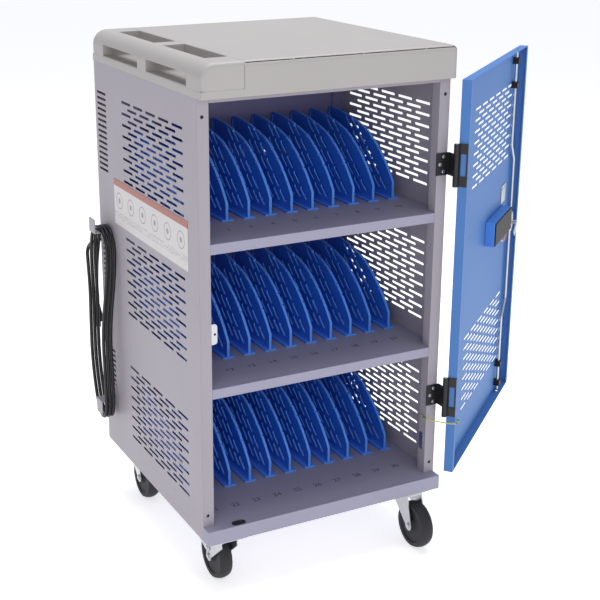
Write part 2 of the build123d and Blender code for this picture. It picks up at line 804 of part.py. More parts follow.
def rear_lock_barrel():
    """Key lock barrel in the rear door, with its slot."""
    x = left + rear_post_width + rear_door_gap + rear_lock_inset
    with BuildPart() as barrel:
        rod((x, rear - 6.5, spindle_z), rear_lock_radius, 17.0, (0, 1, 0))
        rod((x, rear + fit_gap + 1.5, spindle_z), rear_lock_radius + 3.0, 3.0, (0, 1, 0))
        block(x - 1.0, x + 1.0, rear + 1.5, rear + 6.0, spindle_z - 4.0, spindle_z + 4.0, Mode.SUBTRACT)
        block(x - 5.0, x + 5.0, rear - 15.0, rear - 12.0, spindle_z - rear_cam_reach, spindle_z + 7.0)
    return barrel


# Power in the rear bay


def power_strips():
    """Three socket strips along the partition, ten sockets each."""
    with BuildPart() as strips:
        for level_z in shelf_levels:
            z = level_z + 110.0
            block(-235.0, 235.0, partition_y + sheet, partition_y + sheet + 40.0, z - 24.0, z + 24.0)
            with BuildSketch(Plane(origin=(0, partition_y + sheet + 40.0, z), x_dir=(-1, 0, 0),
                                   z_dir=(0, 1, 0))):
                with GridLocations(45.0, 1, 10, 1):
                    Rectangle(26.0, 30.0)
            extrude(amount=-8.0, mode=Mode.SUBTRACT)
    return strips


def supply_box():
    """Switch box at the bottom of the rear bay."""
    y0 = partition_y + sheet
    with BuildPart() as box:
        block(-160.0, -20.0, y0, y0 + 56.0, base_top_z, base_top_z + 58.0)
        fillet(box.edges().filter_by(Axis.Y), 4.0)
        block(-110.0 - fit_gap, -84.0 + fit_gap, y0 + 44.0, y0 + 57.0, base_top_z + 18.0 - fit_gap,
              base_top_z + 40.0 + fit_gap, Mode.SUBTRACT)
    return box


def rocker_switch():
    """Rocker of the supply box, tilted to its off side at rest."""
    y0 = partition_y + sheet + 45.5
    with BuildPart() as rocker:
        plane = Plane(origin=(-97.0, y0 + 5.0, base_top_z + 29.0), z_dir=(1, 0, 0), x_dir=(0, 1, 0))
        with BuildSketch(plane):
            Polygon((-3.5, -7.0), (-3.5, 7.0), (7.5, 9.6), (5.2, 0.0), (7.5, -9.6))
            Circle(1.6, mode=Mode.SUBTRACT)
        extrude(amount=12.5, both=True)
    return rocker


# Casters


def caster_spots():
    """Name, pivot and way the wheel points (+1 to the rear) of each caster."""
    x = body_width / 2 - caster_inset_side
    y0, y1 = front + caster_inset_front, rear - caster_inset_rear
    return (("front_left", -x, y0, 1, True), ("front_right", x, y0, -1, False),
            ("rear_left", -x, y1, -1, False), ("rear_right", x, y1, 1, True))


def caster_plates():
    """Top plates of the casters with their upper ball races and bolts."""
    top = base_bottom_z
    with BuildPart() as plates:
        for _, x, y, _, _ in caster_spots():
            block(x - 32.0, x + 32.0, y - 40.0, y + 40.0, top - caster_plate, top)
            rod((x, y, top - caster_plate - swivel_race_height / 2), swivel_race_radius, swivel_race_height)
            rod((x, y, top - 11.0), 5.0, 14.0)
            for dx in (-23.0, 23.0):
                for dy in (-30.0, 30.0):
                    rod((x + dx, y + dy, top - caster_plate - caster_bolt_head / 2), caster_bolt_radius,
                        caster_bolt_head)
    return plates


def fork(x, y, way):
    """Swivel fork with its race and the axle bolt."""
    top = base_bottom_z - caster_plate - swivel_race_height - fit_gap
    axle_y = y + way * caster_trail
    half = wheel_width / 2 + fork_gap
    side = Plane(origin=(x, 0, 0), x_dir=(0, 1, 0), z_dir=(1, 0, 0))
    with BuildPart() as yoke:
        with BuildSketch(side):
            with BuildLine():
                Polyline((y - way * 20.0, top), (y + way * 34.0, top), (y + way * 36.0, top - 10.0),
                         (axle_y + way * 9.5, wheel_radius + 6.0), (axle_y - way * 9.5, wheel_radius - 2.0),
                         (y - way * 22.0, top - 20.0), (y - way * 20.0, top))
            make_face()
            with Locations((axle_y, wheel_radius)):
                Circle(11.0)
        extrude(amount=half + fork_sheet, both=True)
        block(x - half, x + half, y - 80.0, y + 80.0, 0.0, top - fork_sheet - 0.6, Mode.SUBTRACT)
        rod((x, y, top - 3.0), swivel_race_radius - 1.0, 6.0)
        rod((x, y, top - 10.0), 5.0 + fit_gap, 30.0, mode=Mode.SUBTRACT)
        rod((x, axle_y, wheel_radius), axle_radius, 2 * (half + fork_sheet) + 6.0, (1, 0, 0))
        rod((x, axle_y, wheel_radius), 8.0, 2 * (half + fork_sheet) + 2.0, (1, 0, 0))
        rod((x, axle_y, wheel_radius), 8.5, 2 * half, (1, 0, 0), Mode.SUBTRACT)
        rod((x, axle_y, wheel_radius), axle_radius, 2 * half + 2.0, (1, 0, 0))
    return yoke


def wheel(x, y, way):
    """Wheel with a rounded tread, dished sides and a hub."""
    axle_y = y + way * caster_trail
    plane = Plane(origin=(x, axle_y, wheel_radius), x_dir=(0, 0, 1), z_dir=(0, 1, 0))
    half = wheel_width / 2
    with BuildPart() as disc:
        with BuildSketch(plane):
            with BuildLine():
                Polyline((axle_radius + pin_clearance, -half), (13.0, -half), (15.0, -half + 4.0),
                         (wheel_radius - 14.0, -half + 4.0), (wheel_radius - 11.0, -half + 1.0),
                         (wheel_radius - 4.0, -half + 1.0))
                ThreePointArc((wheel_radius - 4.0, -half + 1.0), (wheel_radius, 0),
                              (wheel_radius - 4.0, half - 1.0))
                Polyline((wheel_radius - 4.0, half - 1.0), (wheel_radius - 11.0, half - 1.0),
                         (wheel_radius - 14.0, half - 4.0), (15.0, half - 4.0), (13.0, half),
                         (axle_radius + pin_clearance, half), (axle_radius + pin_clearance, -half))
            make_face()
        revolve(axis=Axis((x, axle_y, wheel_radius), (1, 0, 0)))
    return disc


def brake_pedal(x, y, way):
    """Foot pedal hung on the fork behind the wheel, up when the brake is off."""
    half = wheel_width / 2 + fork_gap + fork_sheet + fit_gap
    pivot_y = y + way * caster_trail
    side = Plane(origin=(x, 0, 0), x_dir=(0, 1, 0), z_dir=(1, 0, 0))
    lift = wheel_radius + 34.0
    with BuildPart() as pedal:
        with BuildSketch(side):
            with BuildLine():
                Polyline((pivot_y - way * 7.0, wheel_radius + 14.0), (pivot_y + way * 8.0, wheel_radius + 12.0),
                         (pivot_y + way * 62.0, lift - 2.0), (pivot_y + way * brake_arm, lift - 3.0),
                         (pivot_y + way * brake_arm, lift), (pivot_y + way * 58.0, lift + 2.0),
                         (pivot_y - way * 7.0, wheel_radius + 26.0), (pivot_y - way * 7.0, wheel_radius + 14.0))
            make_face()
        extrude(amount=half + 2.4, both=True)
        block(x - half, x + half, y - 200.0, y + 200.0, 0.0, lift - 3.0, Mode.SUBTRACT)
        block(x - half, x + half, y - 200.0, pivot_y + way * 54.0, 0.0, lift + 20.0, Mode.SUBTRACT)
        for side in (-1, 1):
            rod((x + side * (half + 3.2), pivot_y, wheel_radius + 20.0), 4.5, 2.0, (1, 0, 0))
    return pedal


# Supply cord, hank and plug


def corner_radii(points, tight):
    """Fillet radius for each inner corner: the given tight one, or as large as its runs allow."""
    spots = [Vector(*point) for point in points]
    radii = []
    for before, here, after, limit in zip(spots, spots[1:], spots[2:], tight):
        turn = math.radians((here - before).get_angle(after - here))
        shorter = min((here - before).length, (after - here).length)
        radius = 0.45 * shorter / math.tan(turn / 2)
        radii.append(min(radius, limit))
    return radii


def cord_solid(points, tight, radius):
    """Tube along straight runs and arcs, with its radii and volume printed."""
    radii = corner_radii(points, tight)
    with BuildPart() as tube:
        with BuildLine() as path:
            FilletPolyline(*points, radius=radii)
        with BuildSketch(Plane(origin=path.line @ 0, z_dir=path.line % 0)):
            Circle(radius)
        sweep()
    line = path.wire()
    share = tube.part.volume / (math.pi * radius ** 2 * line.length)
    print("cord length", round(line.length, 1), "volume share", round(share, 4), "least radius",
          round(min(radii), 1))
    return tube, line


def hank_point(along, z, turn):
    """A point of the hank: across the hook, height, and which turn it lies in."""
    return (left - 31.0 + hank_step * turn, hook_y + along, z)


def hank_points():
    """Route of the hank: three turns round the hooks, each climbing along its front run."""
    top = upper_hook_z + cord_radius + 0.5
    low = 207.0
    points = [hank_point(60.0, 560.0, 0), hank_point(53.0, 500.0, 0)]
    tight = []
    large = 1000.0
    down = ((58.0, 420.0), (59.0, 320.0))
    for turn in range(3):
        if turn:
            points += [hank_point(62.0, 590.0, turn), hank_point(54.0, 500.0, turn)]
            tight += [large, large]
        else:
            tight += [large]
        points += [hank_point(along, z, turn) for along, z in down]
        points += [hank_point(26.0, low, turn), hank_point(-26.0, low, turn),
                   hank_point(-27.0, 310.0, turn), hank_point(-19.0, 420.0, turn),
                   hank_point(-50.0, 500.0 + 80.0, turn + 1),
                   hank_point(-39.0, top, turn + 1), hank_point(39.0, top, turn + 1)]
        tight += [large, large, hank_bend, hank_bend, large, large, large, hank_bend, hank_bend]
    points += [hank_point(60.0, 595.0, 3)]
    return points, tight


def least_gap(line, samples=900):
    """Smallest clear distance between two turns, measured on points along the line."""
    spots = [line @ (k / samples) for k in range(samples + 1)]
    step = line.length / samples
    apart = int(120.0 / step)
    nearest = min((spots[i] - spots[j]).length for i in range(0, len(spots), 2)
                  for j in range(i + apart, len(spots)))
    return nearest - 2 * cord_radius


def tail_points():
    """Free end of the cord, hanging from the last turn to the plug."""
    return [hank_point(60.0, 595.0, 3), hank_point(72.0, 561.0, 3), hank_point(79.0, 520.0, 3),
            hank_point(82.0, 482.0, 3), hank_point(82.0, 450.0, 3)]


def lead_points():
    """Cord from the gland round the rear corner of the cabinet to the hank."""
    return [(left + 17.0, rear + 6.1, 606.0), (left + 17.0, rear + 31.0, 606.0),
            (left - 14.0, rear + 31.0, 600.0), hank_point(63.5, 590.0, 0),
            hank_point(60.0, 560.0, 0)]


def cord_gland():
    """Gland in the left rear post that the cord comes out of."""
    with BuildPart() as gland:
        rod((left + 17.0, rear + 1.5, 606.0), 10.0, 3.0, (0, 1, 0))
        rod((left + 17.0, rear + 4.5, 606.0), 7.0, 3.0, (0, 1, 0))
    return gland


def plug():
    """Plug body hanging below the tail, with three pins."""
    x, y, z = tail_points()[-1]
    with BuildPart() as body:
        with BuildSketch(Plane.XY.offset(z)):
            with Locations((x, y)):
                Circle(5.5)
        with BuildSketch(Plane.XY.offset(z - 24.0)):
            with Locations((x, y)):
                RectangleRounded(18.0, 24.0, 6.0)
        loft()
        with BuildSketch(Plane.XY.offset(z - 24.0)):
            with Locations((x, y)):
                RectangleRounded(18.0, 24.0, 6.0)
        extrude(amount=-16.0)
        for dx, dy in ((-3.5, -6.5), (-3.5, 6.5), (4.5, 0.0)):
            block(x + dx - 0.8, x + dx + 0.8, y + dy - 3.0, y + dy + 3.0, z - 56.0, z - 40.0)
    return body


def cord_tag():
    """Folded flag on the cord just above the plug."""
    x, y, z = tail_points()[-1]
    with BuildPart() as tag:
        block(x - 0.6, x + 0.6, y + cord_radius + 1.0, y + 46.0, z + 3.0, z + 29.0)
        rod((x, y, z + 16.0), cord_radius + 1.2, 26.0)
        rod((x, y, z + 16.0), cord_radius + 0.3, 28.0, mode=Mode.SUBTRACT)
    return tag


def earth_wire():
    """Loose earth wire from the cabinet post to the door, below the lower hinge."""
    inner = right - post_width
    points = [(inner - 1.6, front + 16.0, 287.0), (inner - 5.0, front - 6.0, 285.0),
              (inner + 20.0, front - 26.0, 282.0), door_point(-2.0, 28.0, 280.0),
              door_point(26.0, 31.0, 281.0), door_point(28.0, door_face_offset + sheet + 0.15, 280.0)]
    return cord_solid(points, [10.0] * 4, 1.3)[0]


def catch_plate():
    """Small plate on the inner face of the right-hand post."""
    inner = right - post_width
    with BuildPart() as plate:
        block(inner - 1.5, inner, front + 7.0, front + 21.0, 208.0, 246.0)
        fillet(plate.edges().filter_by(Axis.X), 3.0)
    return plate


# Write every piece

save(side_panel(left), "left_side_panel")
save(side_panel(right - sheet), "right_side_panel")
save(front_post(left, 1), "left_front_post")
save(front_post(right, -1), "right_front_post")
save(rear_posts(), "rear_posts")
save(base_tray(), "base_tray")
save(caster_rails(), "caster_rails")
save(shelf(shelf_levels[1]), "middle_shelf")
save(shelf(shelf_levels[2]), "upper_shelf")
save(inner_back_panel(), "inner_back_panel")
save(ceiling_panel(), "ceiling_panel")
save(top_cover(), "top_cover")
save(handle_moulding(), "handle_moulding")
first_divider = divider(left + divider_first_inset, base_top_z)
for shelf_name, level_height in zip(("lower", "middle", "upper"), shelf_levels):
    save(divider_set(first_divider, level_height - base_top_z), f"{shelf_name}_dividers")
save(strike_plate(), "strike_plate")
save(catch_plate(), "catch_plate")
save(label_plate(), "label_plate")
save(cord_hooks(), "cord_hooks")
save(cabinet_hinge_leaves(), "cabinet_hinge_leaves")
save(hinge_pins(), "hinge_pins")
save(hinge_screws(), "hinge_screws")
save(door_shell(), "door_shell")
save(door_hinge_leaves(), "door_hinge_leaves")
save(hinge_backing_plates(), "hinge_backing_plates")
save(lock_housing(), "lock_housing")
save(lock_cover(), "lock_cover")
save(lock_bracket(), "lock_bracket")
save(rod_guides(), "rod_guides")
save(lock_rod(spindle_z + 8.0, spindle_z + 150.0, door_bottom_z + door_height - rod_tip_gap), "upper_lock_rod")
save(lock_rod(spindle_z - 8.0, spindle_z - 198.0, door_bottom_z + rod_tip_gap), "lower_lock_rod")
save(lock_cam(), "lock_cam")
save(lock_handle(), "lock_handle")
save(lock_escutcheon(), "lock_escutcheon")
save(rear_door(), "rear_door")
save(rear_hinge_post_leaves(), "rear_hinge_post_leaves")
save(rear_hinge_door_leaves(), "rear_hinge_door_leaves")
save(rear_lock_barrel(), "rear_lock_barrel")
save(power_strips(), "power_strips")
save(supply_box(), "supply_box")
save(rocker_switch(), "rocker_switch")
save(caster_plates(), "caster_plates")
for caster_name, pivot_x, pivot_y, way_back, braked in caster_spots():
    save(fork(pivot_x, pivot_y, way_back), f"{caster_name}_fork")
    save(wheel(pivot_x, pivot_y, way_back), f"{caster_name}_wheel")
    if braked:
        save(brake_pedal(pivot_x, pivot_y, way_back), f"{caster_name}_brake")
save(cord_gland(), "cord_gland")
lead, lead_line = cord_solid(lead_points(), [14.0, 40.0, 60.0], cord_radius)
save(lead, "cord_lead")
hank_route, hank_tight = hank_points()
hank, hank_line = cord_solid(hank_route, hank_tight, cord_radius)
print("hank least gap", round(least_gap(hank_line), 2))
save(hank, "cord_hank")
tail, tail_line = cord_solid(tail_points(), [200.0] * 3, cord_radius)
save(tail, "cord_tail")
print("whole cord", round(lead_line.length + hank_line.length + tail_line.length, 0))
save(plug(), "plug")
save(cord_tag(), "cord_tag")
save(earth_wire(), "earth_wire")
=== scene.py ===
"""Charging cart: finishes, shelf numbers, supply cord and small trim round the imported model.

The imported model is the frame, and its pieces stay where they are. Sizes inside the classes
are millimetres, as in the part's source, and MM turns them to metres where a mesh is made.
The origin is on the floor below the middle of the cabinet, +Z is up, and +Y runs from the
front of the cabinet to its rear.
"""

import logging
import math
from collections.abc import Sequence
from dataclasses import dataclass
from enum import Enum
from typing import Any

import bmesh
import bpy
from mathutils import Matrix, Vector


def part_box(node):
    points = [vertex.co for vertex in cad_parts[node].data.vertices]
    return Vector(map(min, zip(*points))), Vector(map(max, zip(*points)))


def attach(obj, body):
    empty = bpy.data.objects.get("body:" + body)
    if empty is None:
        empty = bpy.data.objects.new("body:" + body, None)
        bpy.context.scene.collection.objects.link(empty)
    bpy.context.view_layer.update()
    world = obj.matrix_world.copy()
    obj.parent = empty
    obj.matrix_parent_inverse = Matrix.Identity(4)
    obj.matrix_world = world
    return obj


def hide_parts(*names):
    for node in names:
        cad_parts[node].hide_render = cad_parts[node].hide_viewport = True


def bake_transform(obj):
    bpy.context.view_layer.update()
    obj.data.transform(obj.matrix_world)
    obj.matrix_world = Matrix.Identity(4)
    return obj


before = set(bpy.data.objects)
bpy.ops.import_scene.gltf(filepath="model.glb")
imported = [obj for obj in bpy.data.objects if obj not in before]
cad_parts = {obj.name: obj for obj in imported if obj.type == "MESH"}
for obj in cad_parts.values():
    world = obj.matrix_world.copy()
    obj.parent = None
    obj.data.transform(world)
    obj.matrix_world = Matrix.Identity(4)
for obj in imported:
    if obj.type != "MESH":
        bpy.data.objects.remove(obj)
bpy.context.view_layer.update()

MM = 0.001
Tree = bpy.types.NodeTree
Socket = bpy.types.NodeSocket
Piece = bpy.types.Object
log = logging.getLogger("charging_cart")


# Nodes and finishes


def linear(hex_colour: str) -> tuple[float, float, float, float]:
    """Turns an sRGB hex colour to linear red, green, blue and alpha.

    Args:
        hex_colour: six hex digits, with or without a leading #.

    Returns:
        The four linear values.
    """
    digits = hex_colour.lstrip("#")
    shares = [int(digits[k : k + 2], 16) / 255 for k in (0, 2, 4)]
    values = [s / 12.92 if s <= 0.04045 else ((s + 0.055) / 1.055) ** 2.4 for s in shares]
    return (values[0], values[1], values[2], 1.0)


def add_node(
    tree: Tree, kind: str, inputs: dict[str | int, Any] | None = None, **settings: Any
) -> bpy.types.Node:
    """Adds one node with its settings and its links.

    Args:
        tree: the node tree that it goes in.
        kind: the node's type name.
        inputs: a value, or the socket that feeds it, for each named input.
        **settings: the node's own properties.

    Returns:
        The new node.
    """
    node = tree.nodes.new(kind)
    for name, value in settings.items():
        setattr(node, name, value)
    for name, value in (inputs or {}).items():
        if isinstance(value, Socket):
            tree.links.new(value, node.inputs[name])
        else:
            node.inputs[name].default_value = value
    return node


@dataclass(frozen=True)
class Finish:
    """A real finish: its colour, how it reflects, and the fine pattern of its making.

    Attributes:
        title: the finish's common name, used as the material's name.
        colour: sRGB hex of the clean surface.
        roughness: middle roughness of the surface.
        metallic: 1 for bare or plated metal.
        ior: index of refraction, left at its default for a metal.
        grain_mm: spacing of the fine surface pattern.
        grain_depth_mm: height of that pattern.
        blotch: share by which the colour drifts over the surface.
        blotch_mm: width of that drift.
        edge_mm: radius that the edges catch the light with.
    """

    title: str
    colour: str
    roughness: float
    metallic: float = 0.0
    ior: float = 1.5
    grain_mm: float = 0.9
    grain_depth_mm: float = 0.02
    blotch: float = 0.05
    blotch_mm: float = 140.0
    edge_mm: float = 0.8

    def drifted(self, tree: Tree, place: Socket) -> Socket:
        """Colour with the slow drift that light handling and the coating leave.

        Args:
            tree: the material's nodes.
            place: object coordinates.

        Returns:
            The colour socket.
        """
        red, green, blue, _ = linear(self.colour)
        low, high = 1.0 - self.blotch, 1.0 + self.blotch
        cloud = add_node(
            tree, "ShaderNodeTexNoise",
            {"Vector": place, "Scale": 1 / (self.blotch_mm * MM), "Detail": 3.0, "Roughness": 0.55},
        )
        worn = (red * low, green * low, blue * low, 1.0)
        fresh = (red * high, green * high, blue * high, 1.0)
        return mixed(tree, cloud.outputs["Fac"], worn, fresh)

    def pattern(self, tree: Tree, place: Socket) -> Socket:
        """Height of the fine surface pattern, from 0 to 1."""
        grain = add_node(
            tree, "ShaderNodeTexNoise",
            {"Vector": place, "Scale": 1 / (self.grain_mm * MM), "Detail": 2.0, "Roughness": 0.5},
        )
        return grain.outputs["Fac"]

    def material(self) -> bpy.types.Material:
        """Builds the material's nodes.

        Returns:
            The material.
        """
        made = bpy.data.materials.new(self.title)
        made.use_nodes = True
        tree = made.node_tree
        tree.nodes.clear()
        place = add_node(tree, "ShaderNodeTexCoord").outputs["Object"]
        height = self.pattern(tree, place)
        gloss = add_node(
            tree, "ShaderNodeMapRange",
            {"Value": height, "To Min": self.roughness - 0.05, "To Max": self.roughness + 0.05},
        )
        edge = add_node(tree, "ShaderNodeBevel", {"Radius": self.edge_mm * MM}, samples=4)
        relief = add_node(
            tree, "ShaderNodeBump",
            {"Height": height, "Strength": 1.0, "Distance": self.grain_depth_mm * MM,
             "Normal": edge.outputs["Normal"]},
        )
        shader = add_node(
            tree, "ShaderNodeBsdfPrincipled",
            {"Base Color": self.drifted(tree, place), "Roughness": gloss.outputs["Result"],
             "Normal": relief.outputs["Normal"], "Metallic": self.metallic, "IOR": self.ior},
        )
        add_node(tree, "ShaderNodeOutputMaterial", {"Surface": shader.outputs["BSDF"]})
        return made


@dataclass(frozen=True)
class MouldedGrain(Finish):
    """Moulded plastic whose mould was etched, which gives a fine pebbled skin."""

    def pattern(self, tree: Tree, place: Socket) -> Socket:
        """Pebbled skin of the mould, as a cell pattern."""
        cells = add_node(
            tree, "ShaderNodeTexVoronoi",
            {"Vector": place, "Scale": 1 / (self.grain_mm * MM)}, feature="SMOOTH_F1",
        )
        return cells.outputs["Distance"]


@dataclass(frozen=True)
class RimmedMoulding(MouldedGrain):
    """Moulded sheet, standing across X, whose rims and cut edges carry a painted highlight, paler
    than its flat sides.

    Attributes:
        rim: sRGB hex of the painted highlight on the rims.
    """

    rim: str = "#5C9CFF"

    def drifted(self, tree: Tree, place: Socket) -> Socket:
        """Drifting colour where the surface faces along X, and the rims' painted highlight colour
        elsewhere.
        """
        # Painted highlight: surfaces that don't face along X take the paler rim colour.
        facing = add_node(tree, "ShaderNodeNewGeometry").outputs["True Normal"]
        across = add_node(tree, "ShaderNodeSeparateXYZ", {"Vector": facing}).outputs["X"]
        flat = add_node(tree, "ShaderNodeMath", {0: across}, operation="ABSOLUTE").outputs["Value"]
        share = add_node(
            tree, "ShaderNodeMapRange", {"Value": flat, "From Min": 0.3, "From Max": 0.7}
        )
        return mixed(tree, share.outputs["Result"], linear(self.rim), super().drifted(tree, place))


@dataclass(frozen=True)
class BrushedPlate(Finish):
    """Zinc or chrome on pressed steel, with faint drawing marks along one direction.

    Attributes:
        stretch: how much longer than wide the marks are, along Z.
    """

    stretch: float = 14.0

    def pattern(self, tree: Tree, place: Socket) -> Socket:
        """Drawing marks, as noise stretched along Z."""
        drawn = add_node(
            tree, "ShaderNodeMapping",
            {"Vector": place, "Scale": (1.0, 1.0, 1.0 / self.stretch)},
        )
        marks = add_node(
            tree, "ShaderNodeTexNoise",
            {"Vector": drawn.outputs["Vector"], "Scale": 1 / (self.grain_mm * MM), "Detail": 3.0},
        )
        return marks.outputs["Fac"]


@dataclass(frozen=True)
class TwoColourSheath(Finish):
    """Vinyl sheath extruded in two colours, seen as stripes along the wire.

    Attributes:
        second: sRGB hex of the stripe.
        stripe_mm: spacing of the stripes.
    """

    second: str = "#3F8F3A"
    stripe_mm: float = 5.0

    def drifted(self, tree: Tree, place: Socket) -> Socket:
        """First colour with the stripe of the second."""
        bands = add_node(
            tree, "ShaderNodeTexWave",
            {"Vector": place, "Scale": 1 / (self.stripe_mm * MM) / 6.283, "Distortion": 1.0},
            bands_direction="DIAGONAL",
        )
        step = add_node(
            tree, "ShaderNodeMath", {0: bands.outputs["Fac"], 1: 0.55}, operation="GREATER_THAN"
        )
        return mixed(tree, step.outputs["Value"], linear(self.colour), linear(self.second))


@dataclass(frozen=True)
class BandedFilm(Finish):
    """Film flag with a coloured stripe along its foot.

    Attributes:
        band: sRGB hex of the stripe.
        band_top: height of the stripe's upper edge.
    """

    band: str = "#C8462F"
    band_top: float = 459.0

    def drifted(self, tree: Tree, place: Socket) -> Socket:
        """Film colour above the stripe's edge and the stripe's below it."""
        height = add_node(tree, "ShaderNodeSeparateXYZ", {"Vector": place}).outputs["Z"]
        above = add_node(
            tree, "ShaderNodeMath", {0: height, 1: self.band_top * MM}, operation="GREATER_THAN"
        )
        return mixed(tree, above.outputs["Value"], linear(self.band), linear(self.colour))


@dataclass(frozen=True)
class PrintedPlate(Finish):
    """White film with a coloured head band, a row of plain rings and broken grey rules.

    The rings and rules are a pattern of the builder's own and say nothing.

    Attributes:
        band: sRGB hex of the head band.
        ink: sRGB hex of the rings and rules.
        band_z: height above which the band starts.
        ring_y: middle of the first ring, from the front.
        ring_z: height of the rings' middles.
        ring_pitch: spacing of the rings.
        ring_radius: radius of a ring.
        rule_z: height of the middle rule below the rings.
    """

    band: str = "#A8685C"
    ink: str = "#77747A"
    band_z: float = 763.0
    ring_y: float = -190.0
    ring_z: float = 733.0
    ring_pitch: float = 66.0
    ring_radius: float = 17.0
    rule_z: float = 700.0

    def drifted(self, tree: Tree, place: Socket) -> Socket:
        """White ground, then the inked rings and rules, then the band."""

        def math_node(operation: str, *values: Any) -> Socket:
            """One arithmetic step."""
            inputs = dict(enumerate(values))
            return add_node(tree, "ShaderNodeMath", inputs, operation=operation).outputs["Value"]

        apart = add_node(tree, "ShaderNodeSeparateXYZ", {"Vector": place})
        along, up = apart.outputs["Y"], apart.outputs["Z"]
        across = math_node(
            "PINGPONG", math_node("SUBTRACT", along, self.ring_y * MM), self.ring_pitch / 2 * MM
        )
        rise = math_node("SUBTRACT", up, self.ring_z * MM)
        point = add_node(tree, "ShaderNodeCombineXYZ", {"X": across, "Y": rise})
        reach = add_node(
            tree, "ShaderNodeVectorMath", {0: point.outputs["Vector"]}, operation="LENGTH"
        ).outputs["Value"]
        rings = math_node("COMPARE", reach, self.ring_radius * MM, 1.1 * MM)
        hubs = math_node("COMPARE", reach, 0.0, 6.0 * MM)
        fold = math_node("PINGPONG", math_node("SUBTRACT", up, self.rule_z * MM), 2.6 * MM)
        rows = math_node("COMPARE", fold, 0.0, 0.75 * MM)
        near = math_node("COMPARE", up, self.rule_z * MM, 9.0 * MM)
        words = add_node(
            tree, "ShaderNodeTexNoise", {"Vector": place, "Scale": 180.0, "Detail": 1.0}
        ).outputs["Fac"]
        broken = math_node("GREATER_THAN", words, 0.46)
        rules = math_node("MULTIPLY", math_node("MULTIPLY", rows, near), broken)
        inked = math_node("MAXIMUM", math_node("MAXIMUM", rings, hubs), rules)
        faint = math_node("MULTIPLY", inked, 0.75)
        ground = mixed(tree, faint, linear(self.colour), linear(self.ink))
        head = math_node("GREATER_THAN", up, self.band_z * MM)
        return mixed(tree, head, ground, linear(self.band))


def mixed(
    tree: Tree, share: Socket, first: Any, second: Any
) -> Socket:
    """Mixes two colours, each a value or a socket.

    Args:
        tree: the material's nodes.
        share: how much of the second colour there is.
        first: colour at share 0.
        second: colour at share 1.

    Returns:
        The mixed colour.
    """
    node = add_node(tree, "ShaderNodeMix", {0: share, 6: first, 7: second}, data_type="RGBA")
    return node.outputs[2]


